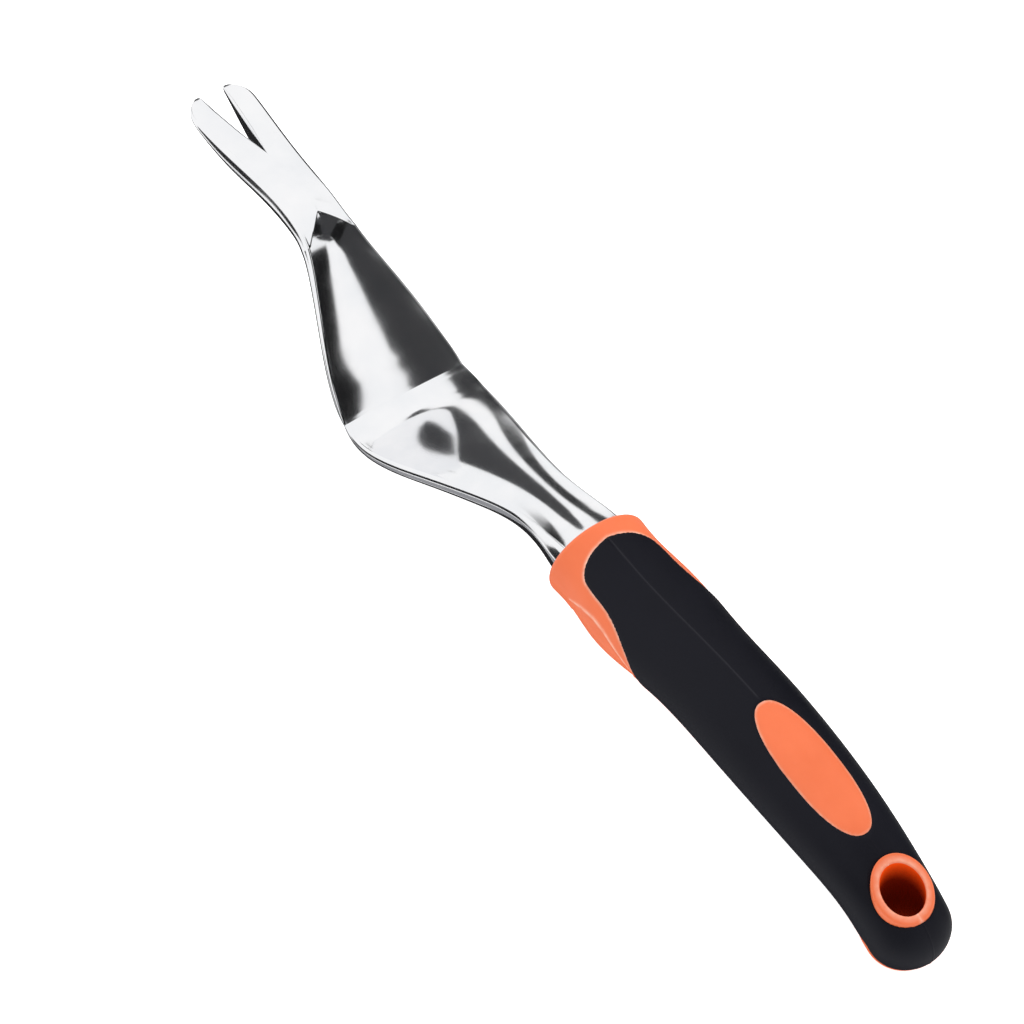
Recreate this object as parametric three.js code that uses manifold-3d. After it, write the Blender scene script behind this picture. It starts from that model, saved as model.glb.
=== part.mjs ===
// Hand weeder: a polished cast aluminium fork head, whose tang runs into a hard orange
// handle core with a soft black grip moulded over it.
//
// Units are millimetres. +X runs from the butt of the handle to the tips of the fork, +Z is up
// and +Y is to the left. The tool lies on the ground on its belly and its heel, top side up,
// and the origin is on the ground under the middle of its length.

import * as THREE from 'three';
import { mergeVertices } from 'three/addons/utils/BufferGeometryUtils.js';
import Module from 'manifold-3d';

const wasm = await Module();
wasm.setup();

// ---------------------------------------------------------------- driving dimensions

const FIT_GAP = 0.3;            // clearance left between the moulded pieces
const SKIN = 2.5;               // thickness of the soft grip over the core

// The head, from the tips of the fork back to its root inside the handle. x and z are the
// place of its top edges, depth is how far the underside lies below them at the middle, wall
// is the height of the flat side, and crown is how far the top rises between the edges.
const HEAD_STATIONS = [
  { x: 158.6, z: 49.5, halfWidth: 5.2, depth: 0.9, wall: 0.6, crown: 0.1 },
  { x: 156.3, z: 49.4, halfWidth: 7.6, depth: 1.5, wall: 1.2, crown: 0.1 },
  { x: 149.0, z: 48.9, halfWidth: 9.4, depth: 3.6, wall: 3.2, crown: 0.2 },
  { x: 136.5, z: 48.2, halfWidth: 8.3, depth: 6.6, wall: 6.0, crown: 0.3 },
  { x: 121.1, z: 47.5, halfWidth: 7.2, depth: 7.2, wall: 6.2, crown: 0.4 },
  { x: 107.1, z: 45.7, halfWidth: 7.0, depth: 7.2, wall: 5.8, crown: 0.5 },
  { x: 100.2, z: 42.5, halfWidth: 7.5, depth: 6.8, wall: 4.4, crown: 0.6 },
  { x: 91.3, z: 34.4, halfWidth: 10.4, depth: 6.6, wall: 3.0, crown: 0.9 },
  { x: 81.0, z: 22.8, halfWidth: 15.0, depth: 6.6, wall: 2.2, crown: 1.2 },
  { x: 71.3, z: 12.2, halfWidth: 18.3, depth: 6.8, wall: 2.0, crown: 1.4 },
  { x: 61.9, z: 7.3, halfWidth: 19.6, depth: 7.2, wall: 2.2, crown: 1.5 },
  { x: 50.8, z: 8.8, halfWidth: 18.7, depth: 7.2, wall: 2.6, crown: 1.6 },
  { x: 36.7, z: 13.9, halfWidth: 15.8, depth: 7.2, wall: 2.8, crown: 1.7 },
  { x: 18.1, z: 20.8, halfWidth: 11.6, depth: 7.6, wall: 2.8, crown: 1.7 },
  { x: 3.0, z: 25.9, halfWidth: 9.2, depth: 8.2, wall: 3.0, crown: 1.5 },
  { x: -8.6, z: 29.2, halfWidth: 8.9, depth: 10.6, wall: 5.8, crown: 1.3 },
  { x: -18.1, z: 31.4, halfWidth: 9.0, depth: 13.4, wall: 11.0, crown: 1.0 },
  { x: -25.2, z: 32.1, halfWidth: 9.0, depth: 13.4, wall: 11.0, crown: 0.8 },
];
const HEAD_RINGS = 50;          // cross-sections along the head
const HEAD_ARC_STEPS = 8;       // facets across its top and across its underside
const WALL_DRAFT = 0.06;        // how much the side walls flare per millimetre of height

const NOTCH_ROOT_X = 129.5;     // the V between the tines
const NOTCH_MOUTH_X = 156.3;
const NOTCH_MOUTH_WIDTH = 6.8;
const NOTCH_ROOT_RADIUS = 0.4;
const NOTCH_ROOT_BLEND = 2;     // length over which the two sides round into the root
const NOTCH_CUT_BOTTOM_Z = 25;  // the cutter, which passes right through the fork
const NOTCH_CUT_HEIGHT = 40;
const NOTCH_CUT_OVERRUN = 10;   // how far it runs out past the mouth

const TANG_FRONT_X = -22;       // the flat bar inside the handle
const TANG_END_X = -90;
const TANG_Z = 24.8;
const TANG_THICKNESS = 7;
const TANG_FRONT_WIDTH = 12;
const TANG_END_WIDTH = 8;
const TANG_HOLE_XS = [-42, -66];
const TANG_HOLE_RADIUS = 2.4;

// The handle, from the mouth of its collar to its butt: its centre line, and its half-width
// and half-height across it. squareness is 0 on an ellipse, and grows towards a rectangle.
const HANDLE_STATIONS = [
  { x: -20.3, z: 26.1, halfWidth: 15.0, halfHeight: 12.3, squareness: 0.0 },
  { x: -28.5, z: 25.5, halfWidth: 14.7, halfHeight: 11.4, squareness: 0.0 },
  { x: -40.5, z: 24.6, halfWidth: 15.8, halfHeight: 10.9, squareness: 0.0 },
  { x: -63.5, z: 25.4, halfWidth: 14.4, halfHeight: 10.4, squareness: 0.0 },
  { x: -84.0, z: 25.1, halfWidth: 14.0, halfHeight: 10.9, squareness: 0.0 },
  { x: -104.0, z: 23.0, halfWidth: 13.6, halfHeight: 10.8, squareness: 0.0 },
  { x: -123.4, z: 19.5, halfWidth: 12.4, halfHeight: 9.8, squareness: 0.05 },
  { x: -138.3, z: 14.6, halfWidth: 11.1, halfHeight: 9.2, squareness: 0.12 },
  { x: -148.2, z: 8.6, halfWidth: 10.7, halfHeight: 9.2, squareness: 0.15 },
  { x: -155.9, z: 3.0, halfWidth: 10.3, halfHeight: 9.0, squareness: 0.1 },
];
const HANDLE_RINGS = 22;        // cross-sections between the two rounded ends
const HANDLE_SIDES = 28;
const COLLAR_LIP_RADIUS = 2.2;  // rounding at the mouth of the collar
const BUTT_LENGTH = 10;         // length of the domed butt
const BUTT_BLUNTNESS = 2.2;     // 2 for an ellipsoid's end, more for a blunter one
const BUTT_TIP_SHARE = 0.99;    // where the dome's last ring lies, as a share of its length
const END_STEPS = 4;            // cross-sections in each rounded end

// Where the orange front of the core meets the soft grip, as x at an angle in degrees from
// the top of the handle, round its side, to its underside: a blunt tongue of soft grip on
// top, and a long orange tail below.
const GRIP_EDGE = [
  [0, -26.8], [25, -28.4], [43, -31.1], [49, -34.7], [52, -41.7], [60, -48.2],
  [75, -54.2], [95, -58.3], [125, -62.9], [155, -66.3], [180, -67.3],
];
const GRIP_EDGE_SIDES = 44;
const FRONT_ZONE = { z: 24.9, halfWidth: 15, halfHeight: 11 };
const FRONT_ZONE_MOUTH_X = -10; // the zone runs out past the collar's mouth
const FRONT_ZONE_CORE_X = -45;  // where the zone's back wall closes in on the centre line

const PALM_OVAL = { x: -110.2, z: 32.0, length: 41.5, width: 13.8, slopeDeg: 10, bluntness: 2.3 };
const PALM_OVAL_DEPTH = 16;     // height of its cutter, half above and half below the surface
const PALM_OVAL_CORNERS = 28;

const EYELET_X = -145.0;        // the hanging hole, upright as the tool lies
const EYELET_OUTER_RADIUS = 7.75;
const EYELET_HOLE_RADIUS = 5.55;
const EYELET_LAND_Z = 21.4;     // the flat land round the hole, on the hole's axis
const EYELET_LAND_SLOPE_DEG = 31;
const EYELET_SIDES = 28;
const EYELET_ROOT_Z = 10;       // where the eyelet's tube grows out of the core
const EYELET_TOP_Z = 60;        // top of the cylinders, clear of the handle
const EYELET_CUT_BOTTOM_Z = -20;
const LAND_BLOCK_SIZE = 80;

const HEEL_PATCH = { x: -145.5, length: 19, width: 19.4, recess: 0.3 };
const HEEL_CUT_BOTTOM_Z = -28;  // the patch's cutter, from below the heel up into the core
const HEEL_CUT_HEIGHT = 40;

// ---------------------------------------------------------------- materials

function castAluminium() {
  return new THREE.MeshStandardMaterial({ color: 0xd4d6da, roughness: 0.12, metalness: 1 });
}

function orangePlastic() {
  return new THREE.MeshStandardMaterial({ color: 0xf5713f, roughness: 0.42, metalness: 0 });
}

function blackRubber() {
  return new THREE.MeshStandardMaterial({ color: 0x1c1c22, roughness: 0.62, metalness: 0 });
}

// ---------------------------------------------------------------- solids and booleans

function toSolid(geometry) {
  const bare = geometry.clone();
  bare.deleteAttribute('normal');
  bare.deleteAttribute('uv');
  const merged = mergeVertices(bare, 1e-4);
  const vertProperties = new Float32Array(merged.attributes.position.array);
  const triVerts = new Uint32Array(merged.index.array);
  return new wasm.Manifold(new wasm.Mesh({ numProp: 3, vertProperties, triVerts }));
}

function toGeometry(solid) {
  const mesh = solid.getMesh();
  const geometry = new THREE.BufferGeometry();
  const positions = new Float32Array(mesh.vertProperties);
  geometry.setAttribute('position', new THREE.BufferAttribute(positions, 3));
  geometry.setIndex(new THREE.BufferAttribute(new Uint32Array(mesh.triVerts), 1));
  geometry.computeVertexNormals();
  return geometry;
}

// A closed skin through a row of rings of equal length, with a fan over each end.
function loftThrough(rings) {
  const sides = rings[0].length;
  const points = rings.flat();
  const index = [];
  for (let ring = 0; ring + 1 < rings.length; ring += 1) {
    for (let side = 0; side < sides; side += 1) {
      const next = (side + 1) % sides;
      const a = ring * sides + side;
      const b = ring * sides + next;
      index.push(a, a + sides, b, b, a + sides, b + sides);
    }
  }
  for (const [ring, atEnd] of [[0, false], [rings.length - 1, true]]) {
    const middle = new THREE.Vector3();
    rings[ring].forEach((point) => middle.addScaledVector(point, 1 / sides));
    points.push(middle);
    const hub = points.length - 1;
    for (let side = 0; side < sides; side += 1) {
      const a = ring * sides + side;
      const b = ring * sides + ((side + 1) % sides);
      index.push(...(atEnd ? [b, a, hub] : [a, b, hub]));
    }
  }
  const geometry = new THREE.BufferGeometry().setFromPoints(points);
  geometry.setIndex(index);
  return geometry;
}

// A smooth path through stations with x and z, and the named sizes carried along it.
function pathThrough(stations, [first, second, third]) {
  const places = stations.map((at) => new THREE.Vector3(at.x, 0, at.z));
  const carried = stations.map((at) => new THREE.Vector3(at[first], at[second], at[third]));
  const line = new THREE.CatmullRomCurve3(places, false, 'catmullrom', 0.5);
  const sizes = new THREE.CatmullRomCurve3(carried, false, 'catmullrom', 0.5);
  line.arcLengthDivisions = 400;
  return { line, sizes, length: line.getLength() };
}

// The place, the upward normal and the sizes at a distance along a path.
function stationAt(path, distance) {
  const t = path.line.getUtoTmapping(Math.min(distance / path.length, 1));
  const place = path.line.getPoint(t);
  const ahead = path.line.getTangent(t);
  const up = new THREE.Vector3(ahead.z, 0, -ahead.x);
  return { place, up, sizes: path.sizes.getPoint(t) };
}

// A sine or cosine raised to a power with its sign kept, which squares off a round outline.
function bluntWave(wave, power) {
  return Math.sign(wave) * Math.abs(wave) ** power;
}

// ---------------------------------------------------------------- the head

const headLine = pathThrough(HEAD_STATIONS, ['halfWidth', 'depth', 'crown']);
const headWalls = pathThrough(HEAD_STATIONS, ['wall', 'wall', 'wall']);

// One cross-section: a crowned top between two sharp edges, side walls that flare slightly,
// and a rounded underside. grow swells it evenly, for the socket that takes it.
function headSection(distance, grow) {
  const { place, up, sizes } = stationAt(headLine, distance);
  const halfWidth = sizes.x + grow;
  const depth = sizes.y + grow;
  const crown = Math.max(sizes.z, 0);
  const wall = Math.min(stationAt(headWalls, distance).sizes.x, depth - 0.1);
  const footHalfWidth = halfWidth + wall * WALL_DRAFT;
  const points = [];
  const put = (y, height) => {
    points.push(new THREE.Vector3(0, y, 0).add(place).addScaledVector(up, height));
  };
  for (let step = 0; step <= HEAD_ARC_STEPS; step += 1) {
    const across = 1 - (2 * step) / HEAD_ARC_STEPS;
    put(halfWidth * across, grow + crown * (1 - across * across));
  }
  for (let step = 0; step <= HEAD_ARC_STEPS; step += 1) {
    const angle = (Math.PI * step) / HEAD_ARC_STEPS;
    put(-footHalfWidth * Math.cos(angle), -wall - (depth - wall) * Math.sin(angle));
  }
  return points;
}

function headBody(grow) {
  const rings = [];
  for (let ring = 0; ring <= HEAD_RINGS; ring += 1) {
    rings.push(headSection((headLine.length * ring) / HEAD_RINGS, grow));
  }
  return toSolid(loftThrough(rings));
}

function forkNotch() {
  const flare = NOTCH_MOUTH_WIDTH / 2 / (NOTCH_MOUTH_X - NOTCH_ROOT_X);
  const farX = NOTCH_MOUTH_X + NOTCH_CUT_OVERRUN;
  const farY = flare * (farX - NOTCH_ROOT_X);
  const nearX = NOTCH_ROOT_X + NOTCH_ROOT_BLEND;
  const nearY = flare * NOTCH_ROOT_BLEND + NOTCH_ROOT_RADIUS / 2;
  const outline = new THREE.Shape();
  outline.moveTo(farX, -farY);
  outline.lineTo(farX, farY);
  outline.lineTo(nearX, nearY);
  outline.quadraticCurveTo(NOTCH_ROOT_X - NOTCH_ROOT_RADIUS, 0, nearX, -nearY);
  const settings = { depth: NOTCH_CUT_HEIGHT, bevelEnabled: false, curveSegments: 6 };
  const prism = new THREE.ExtrudeGeometry(outline, settings);
  prism.translate(0, 0, NOTCH_CUT_BOTTOM_Z);
  return toSolid(prism);
}

// The flat bar that carries the load into the handle, with holes that the core flows through.
function tangBar(grow) {
  const front = TANG_FRONT_WIDTH / 2 + grow;
  const end = TANG_END_WIDTH / 2 + grow;
  const outline = new THREE.Shape();
  outline.moveTo(TANG_FRONT_X, -front);
  outline.lineTo(TANG_FRONT_X, front);
  outline.lineTo(TANG_END_X + end, end);
  outline.absarc(TANG_END_X + end, 0, end, Math.PI / 2, Math.PI * 1.5, false);
  outline.lineTo(TANG_FRONT_X, -front);
  for (const x of TANG_HOLE_XS) {
    const hole = new THREE.Path().absarc(x, 0, TANG_HOLE_RADIUS - grow, 0, Math.PI * 2, false);
    outline.holes.push(hole);
  }
  const depth = TANG_THICKNESS + 2 * grow;
  const bar = new THREE.ExtrudeGeometry(outline, { depth, bevelEnabled: false, curveSegments: 10 });
  bar.translate(0, 0, TANG_Z - depth / 2);
  return toSolid(bar);
}

function weederHead() {
  return headBody(0).subtract(forkNotch()).add(tangBar(0));
}

// ---------------------------------------------------------------- the handle

const handleLine = pathThrough(HANDLE_STATIONS, ['halfWidth', 'halfHeight', 'squareness']);

// How far in from the full section the skin lies, near a rounded end of the handle.
function roundingAt(distance) {
  const lip = Math.max(0, COLLAR_LIP_RADIUS - distance);
  return COLLAR_LIP_RADIUS - Math.sqrt(COLLAR_LIP_RADIUS ** 2 - lip ** 2);
}

function buttScaleAt(distance, inset) {
  const into = Math.max(0, distance - (handleLine.length - inset - BUTT_LENGTH)) / BUTT_LENGTH;
  return Math.sqrt(Math.max(0, 1 - into ** BUTT_BLUNTNESS));
}

function handleSection(distance, inset) {
  const { place, up, sizes } = stationAt(handleLine, distance);
  const scale = buttScaleAt(distance, inset);
  const shrink = inset + roundingAt(distance);
  const power = 1 - sizes.z;
  const points = [];
  for (let side = 0; side < HANDLE_SIDES; side += 1) {
    const angle = (2 * Math.PI * side) / HANDLE_SIDES;
    const across = bluntWave(Math.sin(angle), power);
    const above = bluntWave(Math.cos(angle), power);
    const point = new THREE.Vector3(0, (shrink - sizes.x) * scale * across, 0).add(place);
    points.push(point.addScaledVector(up, (sizes.y - shrink) * scale * above));
  }
  return points;
}

// The whole handle, or the same shape a little smaller all over when inset is above zero.
function handleBody(inset) {
  const buttStart = handleLine.length - inset - BUTT_LENGTH;
  const distances = [];
  for (let step = 0; step < END_STEPS; step += 1) {
    distances.push(COLLAR_LIP_RADIUS * (1 - Math.cos((Math.PI / 2) * (step / END_STEPS))));
  }
  for (let ring = 0; ring < HANDLE_RINGS; ring += 1) {
    distances.push(THREE.MathUtils.lerp(COLLAR_LIP_RADIUS, buttStart, ring / HANDLE_RINGS));
  }
  for (let step = 0; step <= END_STEPS; step += 1) {
    const share = Math.sin(Math.asin(BUTT_TIP_SHARE) * (step / END_STEPS));
    distances.push(buttStart + BUTT_LENGTH * share);
  }
  return toSolid(loftThrough(distances.map((distance) => handleSection(distance, inset))));
}

// Everything in front of the grip's edge, pulled back by a gap.
function frontZone(gap) {
  const edge = new THREE.SplineCurve(GRIP_EDGE.map(([degrees, x]) => new THREE.Vector2(degrees, x)));
  const ringAt = (reach, xAt) => {
    const ring = [];
    for (let side = 0; side < GRIP_EDGE_SIDES; side += 1) {
      const turn = (side / GRIP_EDGE_SIDES) * 2;
      const share = turn <= 1 ? turn : 2 - turn;
      const { x: degrees, y: edgeX } = edge.getPoint(share);
      const angle = THREE.MathUtils.degToRad(turn <= 1 ? degrees : 360 - degrees);
      const y = -reach * FRONT_ZONE.halfWidth * Math.sin(angle);
      const z = FRONT_ZONE.z + reach * FRONT_ZONE.halfHeight * Math.cos(angle);
      ring.push(new THREE.Vector3(xAt(edgeX), y, z));
    }
    return ring;
  };
  return toSolid(loftThrough([
    ringAt(1.8, () => FRONT_ZONE_MOUTH_X),
    ringAt(1.8, (edgeX) => edgeX - gap),
    ringAt(0.5, (edgeX) => edgeX - gap),
    ringAt(0.1, () => FRONT_ZONE_CORE_X),
  ]));
}

function palmOval(grow) {
  const outline = new THREE.Shape();
  const power = 2 / PALM_OVAL.bluntness;
  for (let corner = 0; corner < PALM_OVAL_CORNERS; corner += 1) {
    const angle = (2 * Math.PI * corner) / PALM_OVAL_CORNERS;
    const x = bluntWave(Math.cos(angle), power) * (PALM_OVAL.length / 2 + grow);
    const y = bluntWave(Math.sin(angle), power) * (PALM_OVAL.width / 2 + grow);
    outline[corner === 0 ? 'moveTo' : 'lineTo'](x, y);
  }
  const prism = new THREE.ExtrudeGeometry(outline, { depth: PALM_OVAL_DEPTH, bevelEnabled: false });
  prism.translate(0, 0, -PALM_OVAL_DEPTH / 2);
  prism.rotateY(-THREE.MathUtils.degToRad(PALM_OVAL.slopeDeg));
  prism.translate(PALM_OVAL.x, 0, PALM_OVAL.z);
  return toSolid(prism);
}

// An upright cylinder on the hanging hole's axis.
function eyeletCylinder(radius, bottomZ) {
  const height = EYELET_TOP_Z - bottomZ;
  const cylinder = new THREE.CylinderGeometry(radius, radius, height, EYELET_SIDES);
  cylinder.rotateX(Math.PI / 2);
  cylinder.translate(EYELET_X, 0, bottomZ + height / 2);
  return toSolid(cylinder);
}

// Everything above the slanted land round the hanging hole, as a big block.
function aboveEyeletLand() {
  const block = new THREE.BoxGeometry(LAND_BLOCK_SIZE, LAND_BLOCK_SIZE, LAND_BLOCK_SIZE);
  block.translate(0, 0, LAND_BLOCK_SIZE / 2);
  block.rotateY(-THREE.MathUtils.degToRad(EYELET_LAND_SLOPE_DEG));
  block.translate(EYELET_X, 0, EYELET_LAND_Z);
  return toSolid(block);
}

function heelPatch(grow) {
  const outline = new THREE.Shape();
  outline.absellipse(HEEL_PATCH.x, 0, HEEL_PATCH.length / 2 + grow, HEEL_PATCH.width / 2 + grow,
    0, Math.PI * 2, false, 0);
  const settings = { depth: HEEL_CUT_HEIGHT, bevelEnabled: false, curveSegments: 14 };
  const prism = new THREE.ExtrudeGeometry(outline, settings);
  prism.translate(0, 0, HEEL_CUT_BOTTOM_Z);
  return toSolid(prism);
}

function handleCore() {
  const whole = handleBody(0);
  const shown = whole.intersect(frontZone(0).add(palmOval(0)));
  const eyelet = eyeletCylinder(EYELET_OUTER_RADIUS, EYELET_ROOT_Z).subtract(aboveEyeletLand());
  const heel = handleBody(HEEL_PATCH.recess).intersect(heelPatch(0));
  const socket = headBody(FIT_GAP).add(tangBar(FIT_GAP));
  return handleBody(SKIN).add(shown).add(eyelet).add(heel)
    .subtract(socket)
    .subtract(eyeletCylinder(EYELET_HOLE_RADIUS, EYELET_CUT_BOTTOM_Z));
}

function softGrip() {
  return handleBody(0)
    .subtract(handleBody(SKIN - FIT_GAP))
    .subtract(frontZone(FIT_GAP))
    .subtract(palmOval(FIT_GAP))
    .subtract(eyeletCylinder(EYELET_OUTER_RADIUS + FIT_GAP, EYELET_ROOT_Z))
    .subtract(heelPatch(FIT_GAP));
}

// ---------------------------------------------------------------- the assembly

function part(name, solid, material) {
  const mesh = new THREE.Mesh(toGeometry(solid), material);
  mesh.name = name;
  return mesh;
}

const group = new THREE.Group();
group.add(part('weeder_head', weederHead(), castAluminium()));
group.add(part('handle_core', handleCore(), orangePlastic()));
group.add(part('soft_grip', softGrip(), blackRubber()));

export default group;
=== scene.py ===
"""Looks for the hand weeder: a polished cast head, a hard orange handle core and a soft black grip.

Lengths in the tables below are millimetres in the CAD frame (+X towards the tines, +Y left, +Z up), and
everything that reaches Blender is metres.
"""

import math

import bmesh
import bpy
import numpy as np
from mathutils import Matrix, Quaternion, Vector


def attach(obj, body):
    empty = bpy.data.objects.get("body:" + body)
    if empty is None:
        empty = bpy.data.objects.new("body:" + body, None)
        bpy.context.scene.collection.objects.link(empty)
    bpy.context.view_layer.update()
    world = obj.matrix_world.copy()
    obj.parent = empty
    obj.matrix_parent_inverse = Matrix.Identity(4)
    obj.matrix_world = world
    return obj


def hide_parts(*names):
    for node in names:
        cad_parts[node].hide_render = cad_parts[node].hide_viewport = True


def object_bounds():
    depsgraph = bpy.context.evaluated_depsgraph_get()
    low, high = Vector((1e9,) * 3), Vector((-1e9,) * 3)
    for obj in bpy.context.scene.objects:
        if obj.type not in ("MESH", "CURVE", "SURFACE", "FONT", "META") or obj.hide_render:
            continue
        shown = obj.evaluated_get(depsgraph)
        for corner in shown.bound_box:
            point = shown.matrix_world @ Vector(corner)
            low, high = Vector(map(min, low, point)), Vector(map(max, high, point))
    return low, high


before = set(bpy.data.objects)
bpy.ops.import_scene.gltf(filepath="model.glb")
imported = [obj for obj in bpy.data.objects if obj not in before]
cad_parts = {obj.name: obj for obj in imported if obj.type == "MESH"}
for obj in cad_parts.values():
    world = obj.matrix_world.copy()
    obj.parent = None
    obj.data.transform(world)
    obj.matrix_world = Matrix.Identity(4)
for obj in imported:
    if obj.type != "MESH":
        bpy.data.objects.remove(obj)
cad_low, cad_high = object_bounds()
cad_middle = (cad_low + cad_high) / 2
MM = 0.001

# ---------------------------------------------------------------- driving dimensions, mm

# The cast head from its tips to its root: top edge line (x, z), half width, depth of the underside,
# height of the flat side wall and rise of the crowned top.
HEAD_STATIONS = [
    (158.6, 49.5, 5.2, 0.9, 0.6, 0.1),
    (156.3, 49.4, 7.6, 1.5, 1.2, 0.1),
    (149.0, 48.9, 9.4, 3.6, 3.2, 0.2),
    (136.5, 48.2, 8.3, 6.6, 6.0, 0.3),
    (121.1, 47.5, 7.2, 7.2, 6.2, 0.4),
    (107.1, 45.7, 7.0, 7.2, 5.8, 0.5),
    (100.2, 42.5, 7.5, 6.8, 4.4, 0.9),
    (91.3, 34.4, 10.4, 6.6, 3.0, 1.0),
    (81.0, 22.8, 15.0, 6.6, 2.2, 1.2),
    (71.3, 12.2, 18.3, 6.8, 2.0, 1.4),
    (61.9, 7.3, 19.6, 7.2, 2.2, 1.5),
    (50.8, 8.8, 18.7, 7.2, 2.6, 1.6),
    (36.7, 13.9, 15.8, 7.2, 2.8, 1.7),
    (18.1, 20.8, 11.6, 7.6, 2.8, 1.7),
    (3.0, 25.9, 9.2, 8.2, 3.0, 1.5),
    (-8.6, 29.2, 8.9, 10.6, 5.8, 1.3),
    (-18.1, 31.4, 9.0, 13.4, 11.0, 1.0),
    (-25.2, 32.1, 9.0, 13.4, 11.0, 0.8),
]
HEAD_STEP = 0.7
FINE_HEAD_STEP = 0.14              # between sections at the tips and round the ridge
WALL_TOP_TILT = math.radians(27)   # how far the side wall leans out just below the arris
WALL_WIDEST = 0.6                  # depth of its widest line, as a share of the wall's height
ARRIS_RADIUS = 0.7
UNDERSIDE_SQUARENESS = 0.45
RIDGE_X = 105.3
RIDGE_FINE_X = RIDGE_X - 4         # middle of the stretch with close sections round the ridge
RIDGE_FINE_HALF_LENGTH = 9.0
RIDGE_SWEEP = 0.95                 # how fast the ridge runs back on either side of its apex
RIDGE_LENGTH = 10.0
RIDGE_TURN = 0.42
VALLEY_X = 66.0
VALLEY_LENGTH = 12.5
VALLEY_TURN = 0.92
NOTCH_ROOT_X = 129.5
NOTCH_FLARE = 0.127
NOTCH_ROOT_FLARE = 0.6             # share of that flare right at the root, growing to all of it
NOTCH_FLARE_GROWTH = 0.2
NOTCH_LIP = 0.7
TINE_TIP_Y = 4.5
TINE_CLOSE = 1.5
TINE_FINE_MARGIN = 0.5
TINE_TIP_DROP = 0.6
TINE_TIP_DEPTH = 0.4               # share of the depth left at the very tips
TANG_START_X = 4.0                 # behind this the head lies in the handle's pocket
POCKET_GAP = 0.1

# Points along each part of half a section of the head.
LIP_POINTS = 5
TOP_POINTS = 27
ARRIS_POINTS = 7
SIDE_POINTS = 11
UNDERSIDE_POINTS = 30
NOTCH_WALL_POINTS = 4
# The most that the roundings may take of the side wall, of the tine's width and of the notch's.
ROUNDING_OF_WALL = 0.3
ARRIS_OF_WIDTH = 0.4
LIP_OF_WIDTH = 0.3
LIP_OF_NOTCH = 0.5
LEAST_UNDERSIDE = 0.08             # height left for the underside below the side wall

# The handle from the mouth of its collar to its butt: centre line (x, z), half width, half height
# and how far the section goes from an ellipse towards a rectangle.
HANDLE_STATIONS = [
    (-20.3, 26.1, 15.0, 12.3, 0.0),
    (-28.5, 25.5, 14.7, 11.4, 0.0),
    (-40.5, 24.6, 15.8, 10.9, 0.0),
    (-63.5, 25.4, 14.4, 10.4, 0.0),
    (-84.0, 25.1, 14.0, 10.9, 0.0),
    (-104.0, 23.0, 13.6, 10.8, 0.0),
    (-123.4, 19.5, 12.4, 9.8, 0.05),
    (-138.3, 14.6, 11.1, 9.2, 0.12),
    (-148.2, 8.6, 10.7, 9.2, 0.15),
    (-155.9, 3.0, 10.3, 9.0, 0.1),
]
HANDLE_STEP = 0.75
HANDLE_SIDES = 180
SEAM_EXTRA_SIDES = [-0.05, -0.035, -0.022, -0.011, 0.011, 0.022, 0.035]   # radians beside the seam
HIDDEN_STEP = 2.0                  # between the rings of surfaces inside the handle
HIDDEN_SIDES = 64
FINE_LENGTH = 52.0                 # the part behind the collar's mouth whose rings are closer together
FINE_SHARE = 0.45
COLLAR_LIP_RADIUS = 2.2
COLLAR_LIP_RINGS = [0, 0.1, 0.25, 0.45, 0.7, 1.0, 1.4, 1.8]
BUTT_LENGTH = 10
BUTT_BLUNTNESS = 2.2
BUTT_RINGS = 22
BUTT_END_SHARE = 0.9995            # how far the last ring is down the butt, just short of its pole
SKIN = 2.5
JOINT_GAP = 0.06
GRIP_ROUND = 0.6
WINDOW_ROUND = 0.36
CORE_ROUND = 0.35
SEAM_HEIGHT = 0.09
SEAM_WIDTH = 0.18
TONGUE_GROOVE = {"depth": 0.45, "width": 0.35, "length": 9.0}
ZONE_MM_PER_DEGREE = 0.23          # across the surface, for a turn about the front zone's axis

# How far the painted highlights and painted shade on the two plastics reach, and how strong they are (0 to
# 1): painted highlights along the orange's edges, tail crease and hole lip and along the grip's seam,
# painted shade down the hanging hole.
PALE_WIDTH = 0.5
CREASE_PALE = 0.8
OVAL_PALE_WIDTH = 0.35
OVAL_PALE = 0.6
HOLE_LIP_PALE_OFFSET = 0.5         # outside the hole's wall
HOLE_LIP_PALE_WIDTH = 0.4
HOLE_LIP_PALE = 0.5
HOLE_SHADE_DEPTH = 9.0
HOLE_SHADE_START = 0.25
SEAM_SHADE_WIDTH = 0.22
SEAM_SHADE_FADE = 2.0

# The edge between the collar and the grip, as (turn from the top in degrees, x).
GRIP_EDGE = [
    (0, -26.8), (25, -28.4), (43, -31.1), (49, -34.7), (52, -41.7), (60, -48.2),
    (75, -54.2), (95, -58.3), (125, -62.9), (155, -66.3), (180, -67.3),
]
EDGE_SAMPLES = 400
# The space in front of that edge, about an axis along the handle.
FRONT_ZONE = {"z": 24.9, "half_width": 15.0, "half_height": 11.0, "mouth_x": -10.0, "core_x": -45.0}
FRONT_ZONE_SIDES = 160

# The crease along the tail of the collar, as (x, turn in degrees); the orange steps down below it.
TAIL_CREASE = [(-30.0, 84), (-35.1, 75), (-40.1, 71), (-44.7, 73), (-48.5, 78), (-52.0, 84),
               (-57.0, 95)]
TAIL_STEP = 0.4
TAIL_STEP_WIDTH = 0.7
TAIL_FADE = 9.0

PALM_OVAL = {"x": -110.2, "z": 32.0, "length": 41.5, "width": 13.8, "slope": math.radians(10),
             "bluntness": 2.3}
OVAL_CUT_HALF_HEIGHT = 8.0
OVAL_LOWEST_Z = 15.0
FAR_AWAY = 99.0                    # a distance that stands for not near at all

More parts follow.
